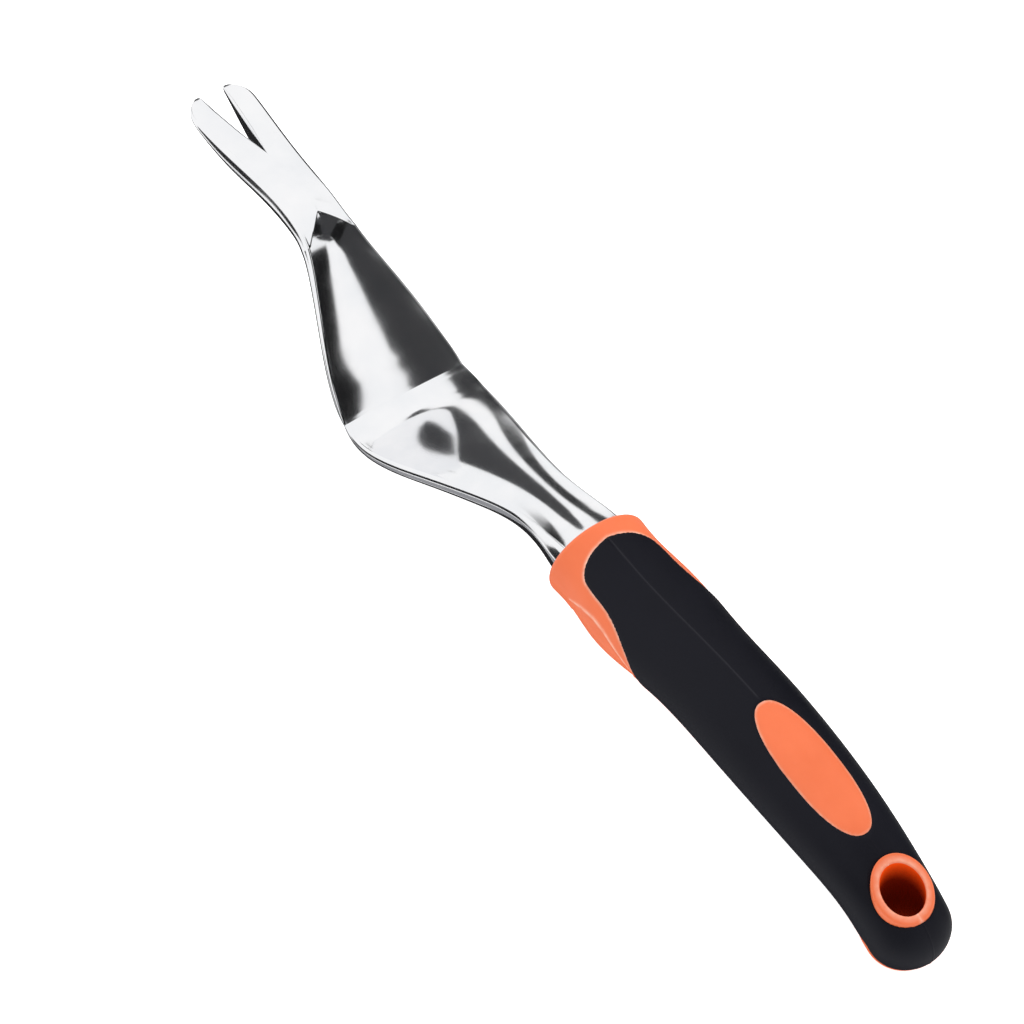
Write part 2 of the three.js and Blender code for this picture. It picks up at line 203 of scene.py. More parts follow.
EYELET_X = -145.0
EYELET_OUTER_RADIUS = 7.75
EYELET_HOLE_RADIUS = 5.55
EYELET_LAND_Z = 21.4
EYELET_LAND_SLOPE = math.radians(31)
EYELET_ROOT_Z = 10.0
EYELET_OUTER_LIP = 0.45
EYELET_INNER_LIP = 0.6
EYELET_SIDES = 96
EYELET_FOOT_LOW = 4.0              # the foot joins the ring to the core, a little inside its outline
EYELET_FOOT_INSET = 0.05
HOLE_INSET = 0.02
HOLE_WALL_MARGIN = 0.1
HOLE_CUT = {"low": -20.0, "high": 60.0, "levels": 81}

HEEL_PATCH = {"x": -145.5, "length": 19.4, "width": 20.6, "proud": 0.15}
HEEL_CUT = {"low": -28.0, "high": 12.0}
HEEL_STEP = 1.0

# ---------------------------------------------------------------- meshes


def spline_rows(stations, step):
    """Rows of a natural cubic spline through the stations, spaced evenly along its (x, z) line,
    each followed by the unit tangent of that line."""
    rows = np.array(stations, float)
    chord = np.hypot(np.diff(rows[:, 0]), np.diff(rows[:, 1]))
    knots = np.concatenate([[0], np.cumsum(chord)])
    count = len(knots)
    system = np.zeros((count, count))
    right = np.zeros((count, rows.shape[1]))
    system[0, 0] = system[-1, -1] = 1
    for i in range(1, count - 1):
        before, after = chord[i - 1], chord[i]
        system[i, i - 1:i + 2] = before, 2 * (before + after), after
        right[i] = 6 * ((rows[i + 1] - rows[i]) / after - (rows[i] - rows[i - 1]) / before)
    bend = np.linalg.solve(system, right)
    at = np.linspace(0, knots[-1], int(round(knots[-1] / step)) + 1)
    i = np.clip(np.searchsorted(knots, at, side="right") - 1, 0, count - 2)
    gap = chord[i][:, None]
    a = (knots[i + 1] - at)[:, None] / gap
    b = 1 - a
    values = a * rows[i] + b * rows[i + 1]
    values += ((a ** 3 - a) * bend[i] + (b ** 3 - b) * bend[i + 1]) * gap ** 2 / 6
    slope = (rows[i + 1] - rows[i]) / gap
    slope += ((3 * b ** 2 - 1) * bend[i + 1] - (3 * a ** 2 - 1) * bend[i]) * gap / 6
    tangent = slope[:, :2] / np.linalg.norm(slope[:, :2], axis=1, keepdims=True)
    return at, values, tangent


def ring_faces(rings, sides, first=0):
    """Quads between rows of equal rings, each ring closing on itself."""
    faces = []
    for ring in range(rings - 1):
        for side in range(sides):
            a = first + ring * sides + side
            b = first + ring * sides + (side + 1) % sides
            faces.append((a, a + sides, b + sides, b))
    return faces


def turned_outward(mesh):
    """Turns the faces of a closed mesh so that they all look out of it, and drops loose points."""
    work = bmesh.new()
    work.from_mesh(mesh)
    loose = [point for point in work.verts if not point.link_faces]
    bmesh.ops.delete(work, geom=loose, context="VERTS")
    bmesh.ops.recalc_face_normals(work, faces=work.faces)
    if work.calc_volume(signed=True) < 0:
        bmesh.ops.reverse_faces(work, faces=work.faces)
    work.to_mesh(mesh)
    work.free()


def mesh_object(name, points_mm, faces, closed=True):
    mesh = bpy.data.meshes.new(name)
    mesh.from_pydata((np.asarray(points_mm) * MM).tolist(), [], faces)
    mesh.validate()
    if closed:
        turned_outward(mesh)
    mesh.update()
    piece = bpy.data.objects.new(name, mesh)
    bpy.context.scene.collection.objects.link(piece)
    return piece


def closed_loft(name, rings_mm):
    """A closed skin through rings of equal length, with a fan over each end."""
    rings = np.asarray(rings_mm)
    count, sides = rings.shape[:2]
    points = np.concatenate([rings.reshape(-1, 3), rings[0].mean(0)[None], rings[-1].mean(0)[None]])
    faces = ring_faces(count, sides)
    start, end = count * sides, count * sides + 1
    last = (count - 1) * sides
    for side in range(sides):
        after = (side + 1) % sides
        faces.append((start, side, after))
        faces.append((end, last + after, last + side))
    return mesh_object(name, points, faces)


def baked(piece):
    """The piece's mesh with its modifiers applied."""
    graph = bpy.context.evaluated_depsgraph_get()
    mesh = bpy.data.meshes.new_from_object(piece.evaluated_get(graph))
    piece.modifiers.clear()
    old = piece.data
    piece.data = mesh
    mesh.name = piece.name
    bpy.data.meshes.remove(old)
    return piece


def combine(piece, other, operation):
    """Cuts or joins another solid into the piece, and removes that other solid."""
    modifier = piece.modifiers.new("combine", "BOOLEAN")
    modifier.operation = operation
    modifier.solver = "MANIFOLD"
    modifier.object = other
    bpy.context.view_layer.update()
    baked(piece)
    bpy.data.objects.remove(other)
    return piece


def finish_surface(piece, material, sharp_degrees=32):
    piece.data.shade_smooth()
    piece.data.set_sharp_from_angle(angle=math.radians(sharp_degrees))
    piece.data.materials.clear()
    piece.data.materials.append(material)
    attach(piece, "root")
    return piece


# ---------------------------------------------------------------- the cast head


def notch_half_width(x):
    into = max(x - NOTCH_ROOT_X, 0.0)
    growing = min(1.0, NOTCH_ROOT_FLARE + NOTCH_FLARE_GROWTH * into)
    return NOTCH_FLARE * into * growing


def tine_closing(x):
    """1 along the head, falling to 0 in a quarter circle at the very tips of the tines."""
    into = max(0.0, (x - (HEAD_STATIONS[0][0] - TINE_CLOSE)) / TINE_CLOSE)
    return math.sqrt(max(0.0, 1 - into ** 2))


def sharpened(x, corner_x, length, turn):
    """Height to add to a bend of the top line so that it meets in a corner instead."""
    into = max(0.0, length / 2 - abs(x - corner_x))
    return turn / (2 * length) * into ** 2


def top_relief(x, y):
    """The V-shaped ridge where the tines' flat top turns down, and the valley above the belly."""
    ridge = sharpened(x + RIDGE_SWEEP * abs(y), RIDGE_X, RIDGE_LENGTH, RIDGE_TURN)
    return ridge - sharpened(x, VALLEY_X, VALLEY_LENGTH, VALLEY_TURN)


def half_section(row, tangent, inner):
    """One side of a section of the head, as points across it: crowned top, rounded arris, bulging side
    wall, underside and, where the notch has opened, the wall of the notch."""
    x, z, half_width, depth, wall, crown = row
    closing = tine_closing(x)
    half_width = TINE_TIP_Y + (half_width - TINE_TIP_Y) * closing
    inner = min(inner, TINE_TIP_Y) if closing == 1 else TINE_TIP_Y - (TINE_TIP_Y - inner) * closing
    depth = depth * (TINE_TIP_DEPTH + (1 - TINE_TIP_DEPTH) * closing)
    wall = min(wall, depth - LEAST_UNDERSIDE)
    width = half_width - inner
    arris = min(ARRIS_RADIUS, wall * ROUNDING_OF_WALL, width * ARRIS_OF_WIDTH)
    lip = min(NOTCH_LIP, inner * LIP_OF_NOTCH, width * LIP_OF_WIDTH, wall * ROUNDING_OF_WALL)

    def top(y):
        return crown * (1 - (y / half_width) ** 2) + top_relief(x, y) * abs(tangent[0])

    points = []
    for share in np.linspace(0, 1, LIP_POINTS):
        turn = math.pi / 2 * share
        points.append((inner + lip * (1 - math.cos(turn)), top(inner) - lip * (1 - math.sin(turn))))
    flat_end = half_width - arris
    for share in np.linspace(0, 1, TOP_POINTS)[1:]:
        y = inner + lip + (flat_end - inner - lip) * share
        points.append((y, top(y)))
    edge = top(flat_end)
    for share in np.linspace(0, 1, ARRIS_POINTS)[1:]:
        turn = math.pi / 2 * (1 - share) + WALL_TOP_TILT * share
        points.append((flat_end + arris * math.cos(turn), edge - arris + arris * math.sin(turn)))
    start_y, start_h = points[-1]
    widest = wall * WALL_WIDEST
    bulge = 0.5 * math.tan(WALL_TOP_TILT) * (widest + start_h)
    for share in np.linspace(0, 1, SIDE_POINTS)[1:]:
        points.append((start_y + bulge * (1 - (1 - share) ** 2), start_h + (-widest - start_h) * share))
    foot = points[-1][0]
    power = 1 - UNDERSIDE_SQUARENESS * wall / depth
    limit = math.acos(min(1.0, (inner / foot) ** (1 / power)))
    for share in np.linspace(0, 1, UNDERSIDE_POINTS)[1:]:
        angle = limit * share
        below = widest + (depth - widest) * math.sin(angle) ** power
        points.append((foot * math.cos(angle) ** power, -below))
    points[-1] = (inner, points[-1][1])
    low, high = points[-1][1], points[0][1]
    for share in np.linspace(0, 1, NOTCH_WALL_POINTS + 2)[1:-1]:
        points.append((inner, low + (high - low) * share))
    drop = TINE_TIP_DROP * (1 - closing)
    up_x, up_z = tangent[1], -tangent[0]
    return [(x + up_x * (h - drop), y, z + up_z * (h - drop)) for y, h in points]


def head_rows():
    """Stations along the head, closer together at the tips and round the ridge."""
    _, even_rows, even_tangents = spline_rows(HEAD_STATIONS, HEAD_STEP)
    _, fine_rows, fine_tangents = spline_rows(HEAD_STATIONS, FINE_HEAD_STEP)

    def wants_fine(x):
        at_tips = x > HEAD_STATIONS[0][0] - TINE_CLOSE - TINE_FINE_MARGIN
        return at_tips | (abs(x - RIDGE_FINE_X) < RIDGE_FINE_HALF_LENGTH)

    fine, even = wants_fine(fine_rows[:, 0]), ~wants_fine(even_rows[:, 0])
    rows = np.concatenate([fine_rows[fine], even_rows[even]])
    tangents = np.concatenate([fine_tangents[fine], even_tangents[even]])
    order = np.argsort(-rows[:, 0])
    return rows[order], tangents[order]


def cast_head():
    rows, tangents = head_rows()
    rows[np.argmin(abs(rows[:, 0] - VALLEY_X)), 0] = VALLEY_X
    halves = []
    for row, tangent in zip(rows, tangents):
        halves.append(half_section(row, tangent, notch_half_width(row[0])))
    halves = np.array(halves)
    count, sides = halves.shape[:2]
    outer = sides - NOTCH_WALL_POINTS
    split = int(np.argmax(rows[:, 0] <= NOTCH_ROOT_X))
    points = np.concatenate([halves.reshape(-1, 3), (halves * (1, -1, 1)).reshape(-1, 3)])
    offset = count * sides
    faces = []
    for ring in range(count - 1):
        loop = sides if ring < split else outer - 1
        pairs = [(side, (side + 1) % sides) for side in range(loop)]
        for side, after in pairs:
            a, b = ring * sides + side, ring * sides + after
            faces.append((a, b, b + sides, a + sides))
            faces.append((offset + b, offset + a, offset + a + sides, offset + b + sides))
    tip = list(range(sides))
    faces.append(tuple(reversed(tip)))
    faces.append(tuple(offset + i for i in tip))
    root = [(count - 1) * sides + i for i in range(outer)]
    faces.append(tuple(root) + tuple(offset + i for i in reversed(root)))
    head = mesh_object("cast_head", points, faces)
    weld = head.modifiers.new("weld", "WELD")
    weld.merge_threshold = 1e-6
    baked(head)
    turned_outward(head.data)
    return head


# ---------------------------------------------------------------- the handle


def side_angles():
    even = np.arange(HANDLE_SIDES) * 2 * math.pi / HANDLE_SIDES
    close = np.array(SEAM_EXTRA_SIDES)
    extra = np.concatenate([close, math.pi + close]) % (2 * math.pi)
    return np.unique(np.round(np.concatenate([even, extra]), 6))


def power_wave(wave, power):
    return np.sign(wave) * np.abs(wave) ** power


def handle_rings(inset, step=HANDLE_STEP, angles=None, front_share=1.0):
    """Rings of the handle's surface, or of the same shape a little smaller all over. The rings in front
    may stand closer together, by front_share."""
    angles = side_angles() if angles is None else angles
    at, rows, tangents = spline_rows(HANDLE_STATIONS, step)
    length = at[-1]
    butt_start = length - inset - BUTT_LENGTH
    dome = butt_start + BUTT_LENGTH * np.sin(np.linspace(0, math.asin(BUTT_END_SHARE), BUTT_RINGS))
    front = np.arange(COLLAR_LIP_RADIUS, FINE_LENGTH, step * front_share)
    even = np.linspace(FINE_LENGTH, butt_start, int((butt_start - FINE_LENGTH) / step))
    where = np.concatenate([COLLAR_LIP_RINGS, front, even, dome[1:]])
    rings = []
    for distance in where:
        x, z, half_width, half_height, squareness = [np.interp(distance, at, rows[:, k]) for k in range(5)]
        tx, tz = np.interp(distance, at, tangents[:, 0]), np.interp(distance, at, tangents[:, 1])
        before_lip = max(0.0, COLLAR_LIP_RADIUS - distance)
        shrink = inset + COLLAR_LIP_RADIUS - math.sqrt(COLLAR_LIP_RADIUS ** 2 - before_lip ** 2)
        into = max(0.0, distance - butt_start) / BUTT_LENGTH
        scale = math.sqrt(max(0.0, 1 - into ** BUTT_BLUNTNESS))
        across = power_wave(np.sin(angles), 1 - squareness) * (half_width - shrink) * scale
        above = power_wave(np.cos(angles), 1 - squareness) * (half_height - shrink) * scale
        rings.append(np.stack([x + tz * above, across, z - tx * above], axis=1))
    return np.array(rings)


def grid_normals(rings):
    along = np.gradient(rings, axis=0)
    around = np.roll(rings, -1, axis=1) - np.roll(rings, 1, axis=1)
    normal = np.cross(around, along)
    normal /= np.maximum(np.linalg.norm(normal, axis=2, keepdims=True), 1e-9)
    outward = rings - rings.mean(axis=1, keepdims=True)
    if (normal * outward).sum() < 0:
        normal = -normal
    return normal


def zone_degrees(points):
    """Turn of each surface point about the front zone's axis, 0 on top and 180 underneath."""
    return np.degrees(np.arctan2(np.abs(points[..., 1]) / FRONT_ZONE["half_width"],
                                 (points[..., 2] - FRONT_ZONE["z"]) / FRONT_ZONE["half_height"]))


def curve_distance(points, curve_degrees, curve_x):
    """Distance over the surface from each point to a curve given by its turn and its x, in mm, and how
    far the curve lies ahead of the point."""
    degrees = zone_degrees(points)
    across = (degrees[..., None] - curve_degrees) * ZONE_MM_PER_DEGREE
    along = points[..., 0][..., None] - curve_x
    ahead = np.interp(degrees, curve_degrees, curve_x) - points[..., 0]
    return np.sqrt((across ** 2 + along ** 2).min(axis=-1)), ahead


def grip_edge_distance(points):
    """How far a surface point lies behind the edge between collar and grip, in mm."""
    curve_degrees, curve_x = edge_curve()
    distance, ahead = curve_distance(points, curve_degrees[::3], curve_x[::3])
    return distance * np.sign(ahead)


def catmull_points(points, samples):
    """Points on a uniform Catmull-Rom spline."""
    rows = np.array(points, float)
    padded = np.concatenate([rows[:1], rows, rows[-1:]])
    share = np.linspace(0, len(rows) - 1, samples)
    i = np.minimum(share.astype(int), len(rows) - 2)
    t = (share - i)[:, None]
    p0, p1, p2, p3 = (padded[i + k] for k in range(4))
    return 0.5 * (2 * p1 + (p2 - p0) * t + (2 * p0 - 5 * p1 + 4 * p2 - p3) * t ** 2
                  + (3 * p1 - p0 - 3 * p2 + p3) * t ** 3)


def edge_curve():
    curve = catmull_points(GRIP_EDGE, EDGE_SAMPLES)
    order = np.argsort(curve[:, 0])
    return curve[order, 0], curve[order, 1]


def oval_distance(points):
    """How far a surface point lies outside the palm oval, in mm, negative inside it."""
    along = (points[..., 0] - PALM_OVAL["x"]) / math.cos(PALM_OVAL["slope"])
    half_length, half_width = PALM_OVAL["length"] / 2, PALM_OVAL["width"] / 2
    bluntness = PALM_OVAL["bluntness"]
    lengthwise, crosswise = np.abs(along) / half_length, np.abs(points[..., 1]) / half_width
    level = np.maximum(lengthwise ** bluntness + crosswise ** bluntness, 1e-9) ** (1 / bluntness)
    slope_along = (lengthwise / level) ** (bluntness - 1) / half_length
    slope_across = (crosswise / level) ** (bluntness - 1) / half_width
    distance = (level - 1) / np.maximum(np.hypot(slope_along, slope_across), 1e-3)
    return np.where(points[..., 2] > OVAL_LOWEST_Z, distance, FAR_AWAY)


def eyelet_distance(points):
    """How far a point lies outside the ring of the hanging hole, in mm, seen from above."""
    return np.hypot(points[..., 0] - EYELET_X, points[..., 1]) - EYELET_OUTER_RADIUS


def heel_distance(points):
    """How far a point lies outside the outline of the patch under the butt, in mm."""
    half_length, half_width = HEEL_PATCH["length"] / 2, HEEL_PATCH["width"] / 2
    lengthwise, crosswise = (points[..., 0] - HEEL_PATCH["x"]) / half_length, points[..., 1] / half_width
    level = np.maximum(np.hypot(lengthwise, crosswise), 1e-6)
    slope = np.hypot(lengthwise / half_length, crosswise / half_width) / level
    return (level - 1) / np.maximum(slope, 1e-3)


def handle_side_z(points):
    """Height of the handle's centre line under each point, to tell its top from its underside."""
    rows = np.array(HANDLE_STATIONS)
    return np.interp(-points[..., 0], -rows[:, 0], rows[:, 1])


def below_tail_crease(points):
    """How far each surface point lies below the crease along the collar's tail, in mm."""
    crease = np.array(TAIL_CREASE)
    line = np.interp(-points[..., 0], -crease[:, 0], crease[:, 1], left=180, right=180)
    return (zone_degrees(points) - line) * ZONE_MM_PER_DEGREE


def quarter_round(distance, radius):
    """Depth of a rounded edge at a distance from it."""
    short = np.clip(radius - distance, 0, radius)
    return radius - np.sqrt(radius ** 2 - short ** 2)


def line_mark(distance, width):
    """1 on a line, falling away smoothly on both sides of it."""
    return np.exp(-(distance / width) ** 2)


def seam_relief(points):
    return SEAM_HEIGHT * line_mark(points[..., 1], SEAM_WIDTH)


def grip_outer():
    rings = handle_rings(0, front_share=FINE_SHARE)
    top = rings[..., 2] > handle_side_z(rings)
    sunk = quarter_round(np.maximum(grip_edge_distance(rings), 0), GRIP_ROUND)
    sunk = np.maximum(sunk, quarter_round(np.maximum(oval_distance(rings), 0), WINDOW_ROUND))
    eyelet = np.where(top, np.maximum(eyelet_distance(rings), 0), FAR_AWAY)
    sunk = np.maximum(sunk, quarter_round(eyelet, WINDOW_ROUND))
    heel = np.where(top, FAR_AWAY, np.maximum(heel_distance(rings), 0))
    sunk = np.maximum(sunk, quarter_round(heel, GRIP_ROUND))
    fading = np.clip(1 - grip_edge_distance(rings) / TONGUE_GROOVE["length"], 0, 1)
    groove = TONGUE_GROOVE["depth"] * line_mark(rings[..., 1], TONGUE_GROOVE["width"]) * fading * top
    rings = rings + grid_normals(rings) * (seam_relief(rings) - sunk - groove)[..., None]
    return closed_loft("soft_grip_skin", rings)


def core_outer():
    """The handle's surface where the orange core shows."""
    rings = handle_rings(0, front_share=FINE_SHARE)
    sunk = quarter_round(np.maximum(-grip_edge_distance(rings), 0), CORE_ROUND)
    sunk = np.maximum(sunk, quarter_round(np.maximum(-oval_distance(rings), 0), CORE_ROUND))
    below = below_tail_crease(rings)
    step = TAIL_STEP * np.clip(below / TAIL_STEP_WIDTH, 0, 1) * np.clip(1 - below / TAIL_FADE, 0, 1)
    rings = rings - grid_normals(rings) * (sunk + step)[..., None]
    return closed_loft("handle_core_shown", rings)


def front_zone(gap):
    """The space in front of the edge between collar and grip, cut back from it by a gap."""
    half_turns = np.linspace(0, 2, FRONT_ZONE_SIDES + 1)[:-1]
    share = np.where(half_turns <= 1, half_turns, 2 - half_turns)
    curve = catmull_points(GRIP_EDGE, EDGE_SAMPLES)
    index = share * (len(curve) - 1)
    degrees = np.interp(index, np.arange(len(curve)), curve[:, 0])
    x = np.interp(index, np.arange(len(curve)), curve[:, 1]) - gap
    angle = np.radians(np.where(half_turns <= 1, degrees, 360 - degrees))

    def ring(reach, ring_x):
        y = -reach * FRONT_ZONE["half_width"] * np.sin(angle)
        z = FRONT_ZONE["z"] + reach * FRONT_ZONE["half_height"] * np.cos(angle)
        return np.stack([ring_x * np.ones_like(y), y, z], axis=1)

    outside, inside, middle = 1.8, 0.5, 0.1
    rings = [ring(outside, FRONT_ZONE["mouth_x"]), ring(outside, x), ring(inside, x),
             ring(middle, FRONT_ZONE["core_x"])]
    return closed_loft("front_zone", rings)


def prism(name, outline, low, high, levels=2):
    """An upright prism over an outline given as (x, y) points, anticlockwise."""
    rings = [np.column_stack([outline, np.full(len(outline), z)]) for z in np.linspace(low, high, levels)]
    return closed_loft(name, rings)


def palm_oval(grow):
    """A solid that cuts the outline of the palm oval through the top of the handle."""
    turns = np.linspace(0, 2 * math.pi, 121)[:-1]
    power = 2 / PALM_OVAL["bluntness"]
    along = power_wave(np.cos(turns), power) * (PALM_OVAL["length"] / 2 + grow)
    across = power_wave(np.sin(turns), power) * (PALM_OVAL["width"] / 2 + grow)
    slope = PALM_OVAL["slope"]
    rings = []
    for height in (-OVAL_CUT_HALF_HEIGHT, OVAL_CUT_HALF_HEIGHT):
        x = PALM_OVAL["x"] + along * math.cos(slope) - height * math.sin(slope)
        z = PALM_OVAL["z"] + along * math.sin(slope) + height * math.cos(slope)
        rings.append(np.column_stack([x, across, z]))
    return closed_loft("palm_oval", rings)


def circle(x, radius, count=96, stretch=1.0):
    turns = np.linspace(0, 2 * math.pi, count + 1)[:-1]
    return np.column_stack([x + radius * np.cos(turns), radius * stretch * np.sin(turns)])


def heel_outline(grow):
    half_length = HEEL_PATCH["length"] / 2 + grow
    half_width = HEEL_PATCH["width"] / 2 + grow
    return circle(HEEL_PATCH["x"], half_length, stretch=half_width / half_length)


def land_height(x):
    """Height of the slanted land round the hanging hole."""
    return EYELET_LAND_Z + math.tan(EYELET_LAND_SLOPE) * (x - EYELET_X)


def eyelet_tube():
    """The ring round the hanging hole, with a slanted land and rounded lips."""
    turns = np.linspace(0, 2 * math.pi, EYELET_SIDES + 1)[:-1]
    outer, hole = EYELET_OUTER_RADIUS, EYELET_HOLE_RADIUS
    outer_lip, inner_lip = [], []
    for share in np.linspace(0, 1, 6):
        turn = math.pi / 2 * share
        outer_lip.append((outer - EYELET_OUTER_LIP * (1 - math.cos(turn)),
                          -EYELET_OUTER_LIP * (1 - math.sin(turn))))
        inner_lip.append((hole + EYELET_INNER_LIP * (1 - math.sin(turn)),
                          -EYELET_INNER_LIP * (1 - math.cos(turn))))

    def ring(radius, drop=None):
        x = EYELET_X + radius * np.cos(turns)
        if drop is None:
            z = np.full_like(x, EYELET_ROOT_Z)
        else:
            z = land_height(x) + drop / math.cos(EYELET_LAND_SLOPE)
        return np.column_stack([x, radius * np.sin(turns), z])

    rings = [ring(outer)] + [ring(*point) for point in outer_lip + inner_lip] + [ring(hole)]
    rings = np.array(rings)
    faces = ring_faces(len(rings), len(turns))
    last = (len(rings) - 1) * len(turns)
    for side in range(len(turns)):
        after = (side + 1) % len(turns)
        faces.append((last + side, side, after, last + after))
    return mesh_object("eyelet_ring", rings.reshape(-1, 3), faces)


def vertices_mm(piece):
    points = np.empty(len(piece.data.vertices) * 3)
    piece.data.vertices.foreach_get("co", points)
    return points.reshape(-1, 3) / MM


def mark(piece, name, values):
    """Stores one value per vertex, for the piece's material to read."""
    layer = piece.data.attributes.new(name, "FLOAT", "POINT")
    layer.data.foreach_set("value", values.astype(np.float32))


def mark_core(core):
    """Where the orange gets a painted highlight, along its edges, its tail's crease and round the hole's
    lip, and where it gets painted shade, darker with depth down in the hanging hole.
    """
    points = vertices_mm(core)
    off_axis = np.hypot(points[:, 0] - EYELET_X, points[:, 1])
    inside = off_axis < EYELET_HOLE_RADIUS + HOLE_WALL_MARGIN
    hole_lip = off_axis - EYELET_HOLE_RADIUS - HOLE_LIP_PALE_OFFSET
    # Painted highlight: lighter orange along the grip's edge, the oval's rim, the tail's crease and round
    # the hole's lip.
    painted_edge_highlight = [line_mark(grip_edge_distance(points), PALE_WIDTH),
            OVAL_PALE * line_mark(oval_distance(points), OVAL_PALE_WIDTH),
            CREASE_PALE * line_mark(below_tail_crease(points), PALE_WIDTH),
            HOLE_LIP_PALE * ~inside * line_mark(hole_lip, HOLE_LIP_PALE_WIDTH)]
    mark(core, "painted_edge_highlight", np.max(painted_edge_highlight, axis=0))
    depth = land_height(points[:, 0]) - points[:, 2]
    # Painted shade: the hanging hole's wall gets darker the further it lies below the land.
    mark(core, "hole_painted_shade", inside * np.clip(HOLE_SHADE_START + depth / HOLE_SHADE_DEPTH, 0, 1))


def mark_grip(grip):
    """Where the moulding seam runs along the top of the grip, in front of the palm oval; a painted sheen,
    a lighter line, goes along it.
    """
    points = vertices_mm(grip)
    top = points[:, 2] > handle_side_z(points)
    oval_front = PALM_OVAL["x"] + PALM_OVAL["length"] / 2
    ahead = np.clip((points[:, 0] - oval_front) / SEAM_SHADE_FADE, 0, 1)
    mark(grip, "seam", line_mark(points[:, 1], SEAM_SHADE_WIDTH) * top * ahead)


def hidden_handle(name, inset):
    """The handle a little smaller all over, with fewer sides, for surfaces inside it."""
    angles = np.arange(HIDDEN_SIDES) * 2 * math.pi / HIDDEN_SIDES
    return closed_loft(name, handle_rings(inset, HIDDEN_STEP, angles))


def handle_core():
    core = hidden_handle("handle_core_body", SKIN)
    shown = combine(core_outer(), combine(front_zone(0), palm_oval(0), "UNION"), "INTERSECT")
    combine(core, shown, "UNION")
    patch = closed_loft("heel", handle_rings(-HEEL_PATCH["proud"], HEEL_STEP))
    combine(patch, prism("heel_cut", heel_outline(0), HEEL_CUT["low"], HEEL_CUT["high"]), "INTERSECT")
    combine(core, patch, "UNION")
    foot = circle(EYELET_X, EYELET_OUTER_RADIUS - EYELET_FOOT_INSET)
    combine(core, prism("eyelet_foot", foot, EYELET_FOOT_LOW, EYELET_ROOT_Z + 1), "UNION")
    combine(core, eyelet_tube(), "UNION")
    hole = prism("hole", circle(EYELET_X, EYELET_HOLE_RADIUS - HOLE_INSET), **HOLE_CUT)
    combine(core, hole, "DIFFERENCE")
    combine(core, closed_loft("socket", socket_rings()), "DIFFERENCE")
    core.name = core.data.name = "core"
    mark_core(core)
    return core


def socket_rings():
    """The pocket in the core that the root of the head sits in."""
    rings = []
    for x, z, half_width, depth, _, crown in HEAD_STATIONS:
        if x >= TANG_START_X:
            continue
        side = half_width + POCKET_GAP
        top, bottom = z + crown + POCKET_GAP, z - depth - POCKET_GAP
        rings.append([(x, side, top), (x, -side, top), (x, -side, bottom), (x, side, bottom)])
    return np.array(rings)


def soft_grip():
    grip = grip_outer()
    combine(grip, hidden_handle("hollow", SKIN - JOINT_GAP), "DIFFERENCE")
    combine(grip, front_zone(JOINT_GAP), "DIFFERENCE")
    combine(grip, palm_oval(JOINT_GAP), "DIFFERENCE")
    ring = circle(EYELET_X, EYELET_OUTER_RADIUS + JOINT_GAP)
    combine(grip, prism("ring", ring, EYELET_ROOT_Z, HOLE_CUT["high"]), "DIFFERENCE")
    heel = prism("heel", heel_outline(JOINT_GAP), HEEL_CUT["low"], HEEL_CUT["high"])
    combine(grip, heel, "DIFFERENCE")
    mark_grip(grip)
    return grip


# ---------------------------------------------------------------- materials

ALUMINIUM_TONES = (0.87, 0.88, 0.90), (0.93, 0.93, 0.94)
ORANGE_TONES = (0.66, 0.132, 0.045), (0.71, 0.150, 0.055)
# Painted highlight: the paler orange laid along the core's edges and crease, broken up by speckle.
PAINTED_HIGHLIGHT_ORANGE = (0.80, 0.50, 0.38)
# Painted shade down the hanging hole: darker orange near its lip, almost black deepest in.
HOLE_PAINTED_SHADE_ORANGE = (0.80, 0.07, 0.006)
HOLE_PAINTED_DEEPEST_SHADE = (0.16, 0.010, 0.002)
RUBBER_TONES = (0.0042, 0.0042, 0.0072), (0.0062, 0.0062, 0.0100)
# Painted sheen: a black lighter than the rubber, painted along the seam's ridge.
SEAM_PAINTED_SHEEN = (0.016, 0.016, 0.020)


def new_material(name):
    material = bpy.data.materials.new(name)
    material.use_nodes = True
    nodes = material.node_tree.nodes
    return material, nodes, material.node_tree.links, nodes["Principled BSDF"]


def object_noise(nodes, links, scale, detail=4.0, stretch=(1, 1, 1), roughness=0.55):
    place = nodes.new("ShaderNodeTexCoord")
    mapping = nodes.new("ShaderNodeMapping")
    mapping.inputs["Scale"].default_value = stretch
    noise = nodes.new("ShaderNodeTexNoise")
    noise.inputs["Scale"].default_value = scale
    noise.inputs["Detail"].default_value = detail
    noise.inputs["Roughness"].default_value = roughness
    links.new(place.outputs["Object"], mapping.inputs["Vector"])
    links.new(mapping.outputs["Vector"], noise.inputs["Vector"])
    return noise.outputs["Fac"]


def ranged(nodes, links, value, low, high, from_low=0.0, from_high=1.0):
    step = nodes.new("ShaderNodeMapRange")
    step.inputs["From Min"].default_value = from_low
    step.inputs["From Max"].default_value = from_high
    step.inputs["To Min"].default_value = low
    step.inputs["To Max"].default_value = high
    links.new(value, step.inputs["Value"])
    return step.outputs["Result"]


def colour_between(nodes, links, value, first, second):
    mix = nodes.new("ShaderNodeMix")
    mix.data_type = "RGBA"
    mix.inputs["A"].default_value = (*first, 1)
    mix.inputs["B"].default_value = (*second, 1)
    links.new(value, mix.inputs["Factor"])
    return mix.outputs["Result"]


def marked(nodes, name):
    layer = nodes.new("ShaderNodeAttribute")
    layer.attribute_name = name
    return layer.outputs["Fac"]


def tinted(nodes, links, colour, value, tint):
    """A colour that turns towards a tint where the value is high."""
    mix = nodes.new("ShaderNodeMix")
    mix.data_type = "RGBA"
    links.new(colour, mix.inputs["A"])
    mix.inputs["B"].default_value = (*tint, 1)
    links.new(value, mix.inputs["Factor"])
    return mix.outputs["Result"]


